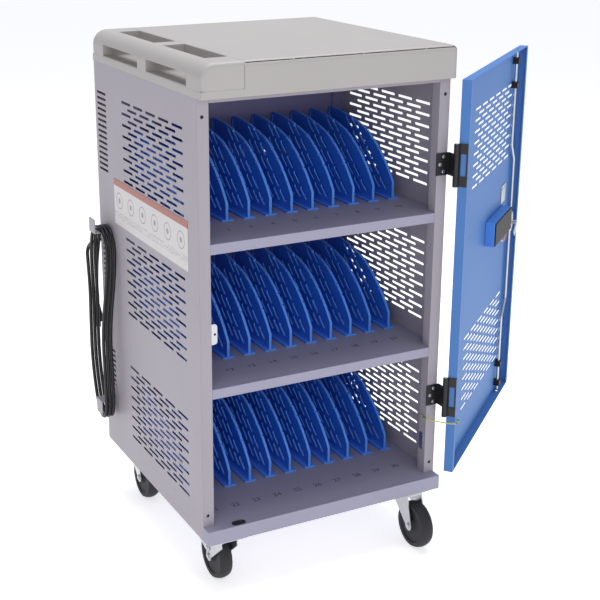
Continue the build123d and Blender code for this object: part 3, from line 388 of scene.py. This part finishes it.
class Coat(Enum):
    """The cart's finishes, each from what the real one is."""

    # Epoxy powder coat baked on steel sheet: even, slightly orange-peeled, half matt.
    CABINET = Finish(
        "warm grey powder coat", "#A29CA4", 0.48, grain_mm=1.4, grain_depth_mm=0.03,
    )
    # The same coat inside, a little darker and bluer: painted shade inside the cabinet.
    INTERIOR = Finish(
        "warm grey powder coat inside", "#78759A", 0.52, grain_mm=1.4, grain_depth_mm=0.03,
    )
    # The same coat on the shelves, a little bluer: painted reflection of blue light from the
    # dividers between them.
    SHELF = Finish(
        "warm grey powder coat on the shelves", "#9B98AC", 0.5, grain_mm=1.4, grain_depth_mm=0.03,
    )
    # Blue powder coat on the door pan, glossier than the cabinet's.
    DOOR = Finish(
        "blue powder coat", "#4D7DBE", 0.5, ior=1.36, grain_mm=1.4, grain_depth_mm=0.03,
    )
    # Injection-moulded ABS, dyed blue right through, with a satin skin; its rims and slot edges
    # carry a painted highlight, a paler blue set by which way they face.
    DIVIDER = RimmedMoulding(
        "blue moulded ABS", "#2C6CDC", 0.36, grain_mm=0.8, grain_depth_mm=0.015, edge_mm=1.2,
    )
    # Moulded ABS cover from an etched mould: soft sheen, pebbled skin drawn at 1.6 mm to show.
    COVER = MouldedGrain(
        "light grey moulded ABS", "#ACA8A6", 0.46, grain_mm=1.6, grain_depth_mm=0.05, edge_mm=2.0,
    )
    # Bright zinc on pressed steel: cool grey metal with faint drawing marks.
    ZINC = BrushedPlate(
        "bright zinc plate", "#C4C6C8", 0.34, 1.0, grain_mm=0.5, blotch=0.12, blotch_mm=18.0,
    )
    # Black powder coat on the cast hinge leaves.
    HINGE = Finish("black powder coat", "#0F0F12", 0.42, grain_mm=1.0, grain_depth_mm=0.04)
    # Black moulded nylon of the plug, gland and sockets.
    BLACK = MouldedGrain("black moulded nylon", "#18181A", 0.45, grain_mm=0.9, edge_mm=0.8)
    # Dark grey lid of the lock housing.
    LOCK_LID = MouldedGrain(
        "dark grey moulded ABS", "#18181C", 0.52, ior=1.36, grain_mm=0.9, edge_mm=1.0,
    )
    # Blue lock housing, a shade deeper than the door.
    LOCK_BOX = MouldedGrain("deep blue moulded ABS", "#4A86DA", 0.42, grain_mm=0.9, edge_mm=1.2)
    # Chrome on the zinc casting of handle and lock.
    CHROME = BrushedPlate("satin chrome plate", "#D5D6D8", 0.18, 1.0, grain_mm=0.3, blotch=0.03)
    # Solid rubber tread and hub of the casters, greyed by dust.
    TREAD = Finish(
        "dark caster rubber", "#1F1F23", 0.62, grain_mm=1.6,
        grain_depth_mm=0.12, blotch=0.35, blotch_mm=30.0,
    )
    # Extruded vinyl of the mains lead: smooth, half glossy, with faint handling marks.
    CORD = Finish(
        "black vinyl sheath", "#0B0B0D", 0.38, grain_mm=2.5,
        grain_depth_mm=0.04, blotch=0.25, blotch_mm=25.0,
    )
    # Bare white polyester flag on the cord.
    TAG = BandedFilm(
        "white polyester film", "#CFC8BE", 0.5, grain_mm=2.0, blotch=0.04, edge_mm=0.2,
    )
    # Printed polyester film of the side plate.
    PLATE = PrintedPlate(
        "printed white film", "#CFCBCA", 0.42, grain_mm=2.0, blotch=0.03, edge_mm=0.2,
    )
    # Yellow and green sheath of the earth wire.
    EARTH = TwoColourSheath(
        "yellow and green vinyl", "#C9C23A", 0.45, grain_mm=1.0, edge_mm=0.2,
    )
    # Thin vinyl on the lock's two wires.
    ORANGE_WIRE = Finish("orange vinyl", "#D07A34", 0.45, grain_mm=1.0, edge_mm=0.2)
    WHITE_WIRE = Finish("white vinyl", "#D8D6D0", 0.45, grain_mm=1.0, edge_mm=0.2)
    # Screen-printed ink of the shelf numbers.
    INK = Finish(
        "dark grey printing ink", "#4A4750", 0.6, grain_mm=0.6, grain_depth_mm=0.005, edge_mm=0.1,
    )
    # Moulded rubber of the bush round the rod's socket.
    BUSH = Finish("black rubber bush", "#202023", 0.6, grain_mm=1.2, edge_mm=0.8)


class Nodes(Enum):
    """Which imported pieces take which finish."""

    CABINET = ("left_side_panel right_side_panel left_front_post right_front_post rear_posts "
               "caster_rails ceiling_panel rear_door cord_hooks")
    SHELF = "base_tray middle_shelf upper_shelf"
    INTERIOR = "inner_back_panel"
    DOOR = "door_shell"
    DIVIDER = "lower_dividers middle_dividers upper_dividers"
    COVER = "top_cover handle_moulding"
    ZINC = ("strike_plate catch_plate hinge_pins hinge_screws hinge_backing_plates lock_bracket "
            "upper_lock_rod lower_lock_rod lock_cam caster_plates rear_hinge_post_leaves "
            "rear_hinge_door_leaves front_left_fork front_right_fork rear_left_fork "
            "rear_right_fork front_left_brake rear_right_brake")
    HINGE = "cabinet_hinge_leaves door_hinge_leaves"
    BLACK = "power_strips supply_box rocker_switch cord_gland plug"
    LOCK_LID = "lock_cover rod_guides"
    LOCK_BOX = "lock_housing"
    CHROME = "lock_handle lock_escutcheon rear_lock_barrel"
    TREAD = "front_left_wheel front_right_wheel rear_left_wheel rear_right_wheel"
    TAG = "cord_tag"
    PLATE = "label_plate"


class PaintShop:
    """Makes each material once and hands it out."""

    def __init__(self) -> None:
        """Starts with no material made."""
        self.made: dict[Coat, bpy.types.Material] = {}

    def material(self, coat: Coat) -> bpy.types.Material:
        """Returns the finish's material, made at its first use."""
        if coat not in self.made:
            self.made[coat] = coat.value.material()
        return self.made[coat]

    def dress(self, piece: Piece, coat: Coat) -> Piece:
        """Gives a piece one finish all over.

        Args:
            piece: the object to dress.
            coat: its finish.

        Returns:
            The same object.
        """
        piece.data.materials.clear()
        piece.data.materials.append(self.material(coat))
        return piece

    def dress_frame(self) -> None:
        """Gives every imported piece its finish."""
        for group in Nodes:
            for name in group.value.split():
                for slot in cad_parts[name].material_slots:
                    slot.material = self.material(Coat[group.name])
                log.info("dressed %s in %s", name, Coat[group.name].value.title)


# Meshes


def add_mesh(name: str, mesh: bmesh.types.BMesh, smooth: bool = True) -> Piece:
    """Turns an edited mesh into an object of the scene.

    Args:
        name: the new object's name.
        mesh: the mesh, in metres, which is freed.
        smooth: whether its faces are shaded smooth.

    Returns:
        The object.
    """
    bmesh.ops.recalc_face_normals(mesh, faces=mesh.faces)
    for face in mesh.faces:
        face.smooth = smooth
    data = bpy.data.meshes.new(name)
    mesh.to_mesh(data)
    mesh.free()
    piece = bpy.data.objects.new(name, data)
    bpy.context.scene.collection.objects.link(piece)
    return piece


def tube_mesh(
    points: Sequence[Vector], radii: Sequence[float], sides: int = 14
) -> bmesh.types.BMesh:
    """Closed tube along a line, with a radius at each of its points.

    Args:
        points: the line, in metres.
        radii: one radius for each point, in metres.
        sides: corners of the tube's section.

    Returns:
        The mesh.
    """
    mesh = bmesh.new()
    normal = Vector((0, 0, 1))
    rings = []
    for k, (point, radius) in enumerate(zip(points, radii)):
        ahead = points[min(k + 1, len(points) - 1)] - points[max(k - 1, 0)]
        ahead.normalize()
        if abs(ahead.dot(normal)) > 0.95:
            normal = ahead.orthogonal()
        normal = (normal - ahead * normal.dot(ahead)).normalized()
        side = ahead.cross(normal)
        turns = [2 * math.pi * s / sides for s in range(sides)]
        spokes = [(normal * math.cos(t) + side * math.sin(t)) * radius for t in turns]
        rings.append([mesh.verts.new(point + spoke) for spoke in spokes])
    for low, high in zip(rings, rings[1:]):
        for s in range(sides):
            t = (s + 1) % sides
            mesh.faces.new((low[s], low[t], high[t], high[s]))
    mesh.faces.new(rings[0][::-1])
    mesh.faces.new(rings[-1])
    return mesh


def route_curve(name: str, points: Sequence[Vector], radius: float = 0.0) -> Piece:
    """Smooth NURBS curve with the route's points as its control points.

    Args:
        name: the object's name.
        points: the control points, in metres.
        radius: the cord's radius, or 0 for its bare line.

    Returns:
        The curve object.
    """
    data = bpy.data.curves.new(name, "CURVE")
    data.dimensions = "3D"
    data.resolution_u = 12
    data.bevel_depth = radius
    data.bevel_resolution = 4 if radius else 0
    data.use_fill_caps = bool(radius)
    spline = data.splines.new("NURBS")
    spline.points.add(len(points) - 1)
    for spot, point in zip(spline.points, points):
        spot.co = (*point, 1.0)
    spline.order_u = 3
    spline.use_endpoint_u = True
    spline.use_smooth = True
    piece = bpy.data.objects.new(name, data)
    bpy.context.scene.collection.objects.link(piece)
    return piece


def route_line(points: Sequence[Vector]) -> list[Vector]:
    """Points along the route's NURBS line, read from a curve with no bevel.

    Args:
        points: the control points, in metres.

    Returns:
        The line's points in order.
    """
    curve = route_curve("route_line", points)
    bpy.context.view_layer.update()
    graph = bpy.context.evaluated_depsgraph_get()
    mesh = bpy.data.meshes.new_from_object(curve.evaluated_get(graph))
    line = [vertex.co.copy() for vertex in mesh.vertices]
    bpy.data.meshes.remove(mesh)
    bpy.data.objects.remove(curve)
    return line


def line_length(line: Sequence[Vector]) -> float:
    """Length of a line of points, in metres."""
    return sum((b - a).length for a, b in zip(line, line[1:]))


def add_slab(
    mesh: bmesh.types.BMesh, centre: Vector, along: Vector, across: Vector, size: Sequence[float]
) -> None:
    """Adds a small block with chamfered edges to a mesh.

    Args:
        mesh: the mesh that it goes in.
        centre: its middle, in metres.
        along: unit direction of its length.
        across: unit direction of its width.
        size: length, width and thickness in metres.
    """
    up = along.cross(across)
    half = [s / 2 for s in size]
    corners = []
    for z in (-1, 1):
        for x, y in ((-1, -1), (1, -1), (1, 1), (-1, 1)):
            corners.append(mesh.verts.new(
                centre + along * x * half[0] + across * y * half[1] + up * z * half[2]
            ))
    sides = [(0, 3, 2, 1), (4, 5, 6, 7), (0, 1, 5, 4), (1, 2, 6, 5), (2, 3, 7, 6), (3, 0, 4, 7)]
    faces = [mesh.faces.new([corners[k] for k in side]) for side in sides]
    edges = list({edge for face in faces for edge in face.edges})
    chamfer = min(half) * 0.5
    bmesh.ops.bevel(mesh, geom=edges, offset=chamfer, segments=2, affect="EDGES", profile=0.5)


# Sizes shared with the part's source


@dataclass(frozen=True)
class Cabinet:
    """Sizes of the cabinet that the trim is set out from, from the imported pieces.

    Attributes:
        left: outer face of the left side.
        right: outer face of the right side.
        front: plane of the front posts.
        rear: rear face.
        slot_first: middle of the first divider, in from the left side.
        slot_pitch: spacing of the dividers.
        hinge_x: pin line of the front door.
        hinge_y: pin line of the front door.
        door_turn: how far past straight back the door stands, in degrees.
    """

    left: float = -275.0
    right: float = 275.0
    front: float = -271.5
    rear: float = 271.5
    slot_first: float = 26.4
    slot_pitch: float = 48.6
    hinge_x: float = 279.5
    hinge_y: float = -296.7
    door_turn: float = 40.2

    @property
    def door_along(self) -> Vector:
        """Unit direction along the open door, away from its hinges."""
        turn = math.radians(self.door_turn)
        return Vector((math.cos(turn), math.sin(turn), 0))

    @property
    def door_in(self) -> Vector:
        """Unit direction from the door's outer skin to its inner side."""
        turn = math.radians(self.door_turn)
        return Vector((math.sin(turn), -math.cos(turn), 0))

    def door_point(self, s: float, off: float, z: float) -> Vector:
        """A point of the open door, in metres.

        Args:
            s: distance along the door from its hinge line.
            off: distance in from the hinge line.
            z: height above the floor.

        Returns:
            The point.
        """
        spot = Vector((self.hinge_x, self.hinge_y, z)) + self.door_along * s + self.door_in * off
        return spot * MM


CABINET = Cabinet()


# Sub-assemblies


@dataclass
class ShelfNumbers:
    """Numbers printed on the shelves in front of the slots.

    Attributes:
        height: height of a figure.
        em_share: the font's size over the height of a figure.
        film: thickness of the ink.
        upper_inset: distance of the numbers behind the posts on the two upper shelves.
        lower_inset: the same on the lowest shelf.
    """

    height: float = 14.0
    em_share: float = 1.35
    film: float = 0.12
    upper_inset: float = 79.0
    lower_inset: float = 57.0

    def number_mesh(self, number: int, spot: Vector) -> bpy.types.Mesh:
        """Mesh of one number, flat on its shelf and read from the front.

        Args:
            number: the number to print.
            spot: its middle, in millimetres.

        Returns:
            The mesh, in metres.
        """
        text = bpy.data.curves.new("number", "FONT")
        text.body = str(number)
        text.size = self.height * MM * self.em_share
        text.align_x, text.align_y = "CENTER", "CENTER"
        text.extrude = self.film / 2 * MM
        shape = bpy.data.objects.new("number", text)
        bpy.context.scene.collection.objects.link(shape)
        bpy.context.view_layer.update()
        graph = bpy.context.evaluated_depsgraph_get()
        mesh = bpy.data.meshes.new_from_object(shape.evaluated_get(graph))
        for vertex in mesh.vertices:
            vertex.co += spot * MM
        bpy.data.objects.remove(shape)
        return mesh

    def build(self, shop: PaintShop) -> None:
        """Prints the three shelves, ten numbers each."""
        shelves = (("upper_numbers", "upper_shelf", 1, self.upper_inset),
                   ("middle_numbers", "middle_shelf", 11, self.upper_inset),
                   ("lower_numbers", "base_tray", 21, self.lower_inset))
        for name, node, first, inset in shelves:
            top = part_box(node)[1][2] / MM
            mesh = bmesh.new()
            for k in range(10):
                x = CABINET.left + CABINET.slot_first + CABINET.slot_pitch * (k + 0.5)
                spot = Vector((x, CABINET.front + inset, top + self.film / 2 + 0.02))
                number = self.number_mesh(first + k, spot)
                mesh.from_mesh(number)
                bpy.data.meshes.remove(number)
            piece = shop.dress(add_mesh(name, mesh, smooth=False), Coat.INK)
            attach(piece, "cabinet")
            log.info("%s on %s", name, node)


@dataclass
class SupplyCord:
    """Mains lead from its gland round the rear corner, three turns on the hooks, then the plug.

    Attributes:
        radius: radius of the lead.
        length: real length of the lead; not used.
        step: spacing of the turns away from the side.
        out: how far the first turn lies out from the side.
        hook_y: middle of the hooks.
        hook_z: top of the upper hook.
        low: height of the lower bends.
        lift: extra height of the points over the hook, where the spline drops between them.
        relief_length: length of the strain relief at the gland.
        relief_radius: radius of the strain relief at the gland.
        relief_taper: how much thinner it is at its other end.
        rib_spacing: distance from one step of its ribs to the next.
        rib_depth: depth of the grooves between its ribs.
        relief_step: distance between the rings of its mesh.
    """

    radius: float = 4.0
    length: float = 3200.0
    step: float = 8.6
    out: float = 31.0
    hook_y: float = 218.0
    hook_z: float = 650.0
    low: float = 207.0
    lift: float = 2.0
    relief_length: float = 22.0
    relief_radius: float = 6.8
    relief_taper: float = 1.9
    rib_spacing: float = 1.9
    rib_depth: float = 0.45
    relief_step: float = 1.2

    def hank_point(self, along: float, z: float, turn: int) -> Vector:
        """A point of the hank: across the hooks, height, and which turn it lies in."""
        return Vector((CABINET.left - self.out + self.step * turn, self.hook_y + along, z)) * MM

    def route(self) -> list[Vector]:
        """Control points from the gland to the plug, in metres."""
        rear, left = CABINET.rear, CABINET.left
        points = [
            Vector((left + 17.0, rear + 6.1, 606.0)) * MM,
            Vector((left + 17.0, rear + 31.0, 606.0)) * MM,
            Vector((left - 14.0, rear + 31.0, 600.0)) * MM,
            self.hank_point(63.5, 590.0, 0),
            self.hank_point(60.0, 560.0, 0),
            self.hank_point(53.0, 500.0, 0),
        ]
        top = self.hook_z + self.radius + 0.5 + self.lift
        for turn in range(3):
            if turn:
                points += [self.hank_point(62.0, 590.0, turn), self.hank_point(54.0, 500.0, turn)]
            points += [self.hank_point(along, z, turn) for along, z in (
                (58.0, 420.0), (59.0, 320.0), (26.0, self.low),
                (-26.0, self.low), (-27.0, 310.0), (-19.0, 420.0),
            )]
            points += [self.hank_point(along, z, turn + 1) for along, z in (
                (-50.0, 580.0), (-39.0, top), (39.0, top)
            )]
        points += [self.hank_point(along, z, 3) for along, z in (
            (60.0, 595.0), (72.0, 561.0), (79.0, 520.0), (82.0, 482.0), (82.0, 450.0)
        )]
        return points

    def relief(self, line: Sequence[Vector]) -> Piece:
        """Ribbed, tapered strain relief over the first stretch of the cord.

        Args:
            line: the cord's line, in metres.

        Returns:
            The piece.
        """
        points, radii, run = [line[0]], [self.relief_radius * MM], 0.0
        for before, here in zip(line, line[1:]):
            steps = max(1, round((here - before).length / (self.relief_step * MM)))
            for k in range(1, steps + 1):
                run += (here - before).length / steps
                if run > self.relief_length * MM:
                    break
                taper = self.relief_radius - self.relief_taper * run / (self.relief_length * MM)
                rib = self.rib_depth if int(run / (self.rib_spacing * MM)) % 2 else 0.0
                points.append(before.lerp(here, k / steps))
                radii.append((taper - rib) * MM)
            if run > self.relief_length * MM:
                break
        return add_mesh("cord_strain_relief", tube_mesh(points, radii, 20))

    def build(self, shop: PaintShop) -> None:
        route = self.route()
        cord = shop.dress(route_curve("supply_cord", route, self.radius * MM), Coat.CORD)
        line = route_line(route)
        relief = shop.dress(self.relief(line), Coat.BLACK)
        for piece in (cord, relief):
            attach(piece, "cabinet")
        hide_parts("cord_lead", "cord_hank", "cord_tail")
        log.info("supply cord, line of %.3f m", line_length(line))


@dataclass
class SmallWires:
    """Earth wire across the lower hinge and the lock's two thin wires.

    Attributes:
        earth_radius: radius of the earth wire.
        lock_radius: radius of each lock wire.
    """

    earth_radius: float = 1.3
    lock_radius: float = 1.1

    def wire(
        self, name: str, route: list[Vector], radius: float, coat: Coat, shop: PaintShop
    ) -> Piece:
        """A thin wire fixed at both ends.

        Args:
            name: the piece's name.
            route: its control points, in metres.
            radius: its radius, in millimetres.
            coat: its finish.
            shop: where its material comes from.

        Returns:
            The piece.
        """
        line = route_line(route)
        piece = add_mesh(name, tube_mesh(line, [radius * MM] * len(line), 10))
        shop.dress(piece, coat)
        log.info("%s, %.3f m", name, line_length(line))
        return piece

    def build(self, shop: PaintShop) -> None:
        """Lays the three wires."""
        post, front = CABINET.right - 24.0, CABINET.front
        earth = self.wire("earth_lead", [
            Vector((post - 1.6, front + 16.0, 287.0)) * MM,
            Vector((post - 5.0, front - 6.0, 285.0)) * MM,
            Vector((post + 20.0, front - 26.0, 282.0)) * MM,
            CABINET.door_point(-2.0, 28.0, 280.0),
            CABINET.door_point(26.0, 31.0, 281.0),
            CABINET.door_point(28.0, 4.4, 280.0),
        ], self.earth_radius, Coat.EARTH, shop)
        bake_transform(earth)
        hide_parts("earth_wire")
        for k, coat in enumerate((Coat.ORANGE_WIRE, Coat.WHITE_WIRE)):
            shift = 3.4 * k
            wire = self.wire(f"lock_wire_{k + 1}", [
                CABINET.door_point(450.6, 15.0 - shift, 603.0 + shift),
                CABINET.door_point(462.0 + shift, 16.0 - shift, 600.0),
                CABINET.door_point(464.0 + shift, 17.0 - shift, 572.0),
                CABINET.door_point(452.0 + shift, 14.0 - shift, 560.0 - shift),
                CABINET.door_point(436.0, 9.0 - shift, 577.0 - shift),
                CABINET.door_point(430.0 - shift, 10.0 - shift, 594.0),
            ], self.lock_radius, coat, shop)
            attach(wire, "front_door")


@dataclass
class SmallTrim:
    """Screw recesses and the bush round the lower rod's socket.

    Attributes:
        recess_length: length of a screw's cross recess.
        recess_width: width of each arm of the cross.
        recess_proud: how far the cross shows above the head.
        bush_length: outer length of the oval bush.
        bush_width: outer width of the oval bush.
        bush_height: how far the bush stands above the tray.
        cup_depth: how far the cup reaches below the tray's top.
        hinge_heights: middles of the two hinges.
        screw_spots: each screw's place across and its rise from the hinge's middle.
    """

    recess_length: float = 4.2
    recess_width: float = 0.9
    recess_proud: float = 0.06
    bush_length: float = 30.0
    bush_width: float = 17.0
    bush_height: float = 1.8
    cup_depth: float = 24.0
    hinge_heights: tuple[float, ...] = (337.6, 841.1)
    screw_spots: tuple[tuple[float, float], ...] = ((265.0, 15.5), (256.5, 0.0), (265.0, -15.5))

    def cross(self, mesh: bmesh.types.BMesh, spot: Vector, first: Vector, second: Vector) -> None:
        """Adds a cross recess at a screw head.

        Args:
            mesh: the mesh that it goes in.
            spot: its middle, in metres.
            first: unit direction of one arm.
            second: unit direction of the other arm.
        """
        size = (self.recess_length * MM, self.recess_width * MM, 2 * self.recess_proud * MM)
        add_slab(mesh, spot, first, second, size)
        add_slab(mesh, spot, second, -first, size)

    def hinge_recesses(self, shop: PaintShop) -> None:
        """Crosses on the hinge screws of the right-hand post."""
        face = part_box("hinge_screws")[0][1]
        mesh = bmesh.new()
        first, second = Vector((0.94, 0, 0.34)), Vector((-0.34, 0, 0.94))
        for middle in self.hinge_heights:
            for x, rise in self.screw_spots:
                self.cross(mesh, Vector((x * MM, face, (middle + rise) * MM)), first, second)
        piece = shop.dress(add_mesh("hinge_screw_recesses", mesh, smooth=False), Coat.HINGE)
        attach(piece, "cabinet")

    def oval(self, length: float, width: float, z: float) -> list[Vector]:
        """Points round an oval at the rod's socket, in metres.

        Args:
            length: its length along the front.
            width: its width.
            z: its height.

        Returns:
            The points in order.
        """
        x0, y0 = CABINET.hinge_x - 482.0, CABINET.hinge_y + 12.0
        radius, straight = width / 2, (length - width) / 2
        spots = []
        for k in range(40):
            turn = 2 * math.pi * (k + 0.5) / 40
            shift = straight if math.cos(turn) > 0 else -straight
            x, y = x0 + shift + radius * math.cos(turn), y0 + radius * math.sin(turn)
            spots.append(Vector((x, y, z)) * MM)
        return spots

    def rod_bush(self, shop: PaintShop) -> None:
        """Rubber cup with a rounded rim, in the socket that the lower rod drops into."""
        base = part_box("base_tray")[1][2] / MM
        length, width = self.bush_length, self.bush_width
        height, depth = self.bush_height, self.cup_depth
        ring = (
            (18.8, 7.3, -depth - 1.0), (18.8, 7.3, 0.02), (length, width, 0.02),
            (length - 0.8, width - 0.8, 1.2), (length - 3.0, width - 3.0, height),
            (20.0, 8.7, height - 0.2), (18.0, 6.7, 1.0), (18.0, 6.7, -depth),
        )
        mesh = bmesh.new()
        loops = [[mesh.verts.new(p) for p in self.oval(a, b, base + h)] for a, b, h in ring]
        for low, high in zip(loops, loops[1:]):
            for k in range(len(low)):
                n = (k + 1) % len(low)
                mesh.faces.new((low[k], low[n], high[n], high[k]))
        mesh.faces.new(loops[0])
        mesh.faces.new(loops[-1])
        piece = shop.dress(add_mesh("rod_socket_bush", mesh), Coat.BUSH)
        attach(piece, "cabinet")

    def build(self, shop: PaintShop) -> None:
        """Makes the trim."""
        self.hinge_recesses(shop)
        self.rod_bush(shop)
        log.info("screw recesses and rod bush")


@dataclass
class Studio:
    """Backlit paper floor, soft lights and the camera at the photograph's angle.

    Attributes:
        eye: the camera's place, in metres.
        azimuth: direction that it looks in, in degrees from +Y.
        elevation: how far it looks down, in degrees.
        roll: its roll, in degrees.
        focal: focal length on a 36 mm sensor.
        shift_x: sideways shift of the frame.
        shift_y: upward shift of the frame.
        paper_glow: light that the paper floor passes on from the lamps below it.
        paper_half: half the side of the paper floor, in metres.
        sky_colour: sRGB hex of the light from all round.
        sky_strength: its strength.
        aim_height: height on the cart that the lamps face, in metres.
        lamps: name, place, side in metres and power in watts of each lamp.
    """

    eye: tuple[float, float, float] = (-1.1644, -2.2834, 1.4015)
    azimuth: float = -26.43
    elevation: float = 17.65
    roll: float = 0.19
    focal: float = 74.29
    shift_x: float = 0.0820
    shift_y: float = -0.0561
    paper_glow: float = 0.58
    paper_half: float = 40.0
    sky_colour: str = "#F4F6FF"
    sky_strength: float = 0.45
    aim_height: float = 0.55
    lamps: tuple[tuple[str, tuple[float, float, float], float, float], ...] = (
        ("key", (-1.9, -3.6, 2.0), 2.2, 34.0),
        ("fill", (1.6, -3.6, 1.4), 2.2, 10.0),
        ("top", (0.3, 0.4, 3.6), 2.6, 88.0),
    )

    def camera(self) -> None:
        """Sets the camera."""
        data = bpy.data.cameras.new("camera")
        data.lens, data.sensor_width = self.focal, 36.0
        data.shift_x, data.shift_y = self.shift_x, self.shift_y
        eye = bpy.data.objects.new("camera", data)
        eye.location = self.eye
        eye.rotation_mode = "XYZ"
        tilt = math.radians(90.0 - self.elevation)
        eye.rotation_euler = (tilt, math.radians(self.roll), math.radians(self.azimuth))
        bpy.context.scene.collection.objects.link(eye)
        bpy.context.scene.camera = eye

    def light(self, name: str, place: Sequence[float], size: float, power: float) -> None:
        """Adds one soft square light that faces the cart.

        Args:
            name: its name.
            place: where it hangs, in metres.
            size: its side, in metres.
            power: its power, in watts.
        """
        data = bpy.data.lights.new(name, "AREA")
        data.shape, data.size, data.energy = "SQUARE", size, power
        lamp = bpy.data.objects.new(name, data)
        lamp.location = place
        aim = Vector((0.0, 0.0, self.aim_height)) - Vector(place)
        lamp.rotation_euler = aim.to_track_quat("-Z", "Y").to_euler()
        bpy.context.scene.collection.objects.link(lamp)

    def build(self) -> None:
        """Sets the floor, the lights, the sky and the camera."""
        floor_finish = Finish("plain pale paper", "#F4F4F4", 0.9, grain_mm=40.0, blotch=0.004)
        mesh = bmesh.new()
        bmesh.ops.create_grid(mesh, x_segments=1, y_segments=1, size=self.paper_half)
        floor = add_mesh("floor", mesh, smooth=False)
        paper = floor_finish.material()
        glow = paper.node_tree.nodes["Principled BSDF"]
        glow.inputs["Emission Color"].default_value = linear("#FFFFFF")
        glow.inputs["Emission Strength"].default_value = self.paper_glow
        floor.data.materials.append(paper)
        world = bpy.data.worlds.new("sky")
        bpy.context.scene.world = world
        world.use_nodes = True
        world.node_tree.nodes.clear()
        sky = add_node(world.node_tree, "ShaderNodeBackground",
                       {"Color": linear(self.sky_colour), "Strength": self.sky_strength})
        add_node(world.node_tree, "ShaderNodeOutputWorld", {"Surface": sky.outputs["Background"]})
        for name, place, size, power in self.lamps:
            self.light(name, place, size, power)
        bpy.context.scene.view_settings.view_transform = "Standard"
        self.camera()
        log.info("studio set")


def main() -> None:
    """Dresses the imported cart, adds its trim, and sets the studio."""
    logging.basicConfig(level=logging.INFO, format="%(name)s: %(message)s")
    shop = PaintShop()
    shop.dress_frame()
    ShelfNumbers().build(shop)
    SupplyCord().build(shop)
    SmallWires().build(shop)
    SmallTrim().build(shop)
    Studio().build()


if __name__ == "__main__":
    main()
